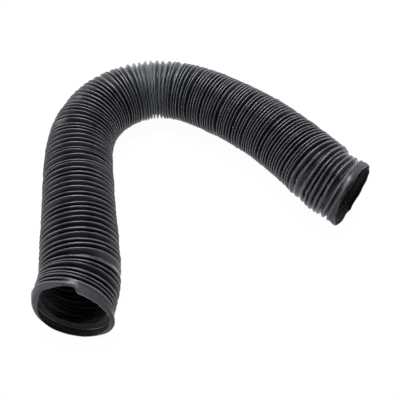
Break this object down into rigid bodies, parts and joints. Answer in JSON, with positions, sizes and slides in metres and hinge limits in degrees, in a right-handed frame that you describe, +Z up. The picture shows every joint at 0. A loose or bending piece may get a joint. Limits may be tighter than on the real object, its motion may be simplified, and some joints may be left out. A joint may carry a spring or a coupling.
{
  "type": "flexible duct hose",
  "caption": "Black flexible duct hose: a folded sleeve of coated cloth over a spring wire helix, open at both ends, lying on the floor in an open bend.",
  "frame": {"origin": "on the floor, under the middle of the hose's bounding box", "axes": "+Z up from the floor; +Y along the near leg, from the near mouth into the hose; the hose then bends towards +X and comes back towards -Y"},
  "size_m": [0.5122, 0.4894, 0.106],
  "materials": {
    "coated_cloth": "semi-gloss black rubberised cloth",
    "spring_steel": "dark drawn spring wire"
  },
  "bodies": {
    "root": {"cloth_sleeve": "coated_cloth", "wire_helix": "spring_steel"}
  },
  "joints": []
}
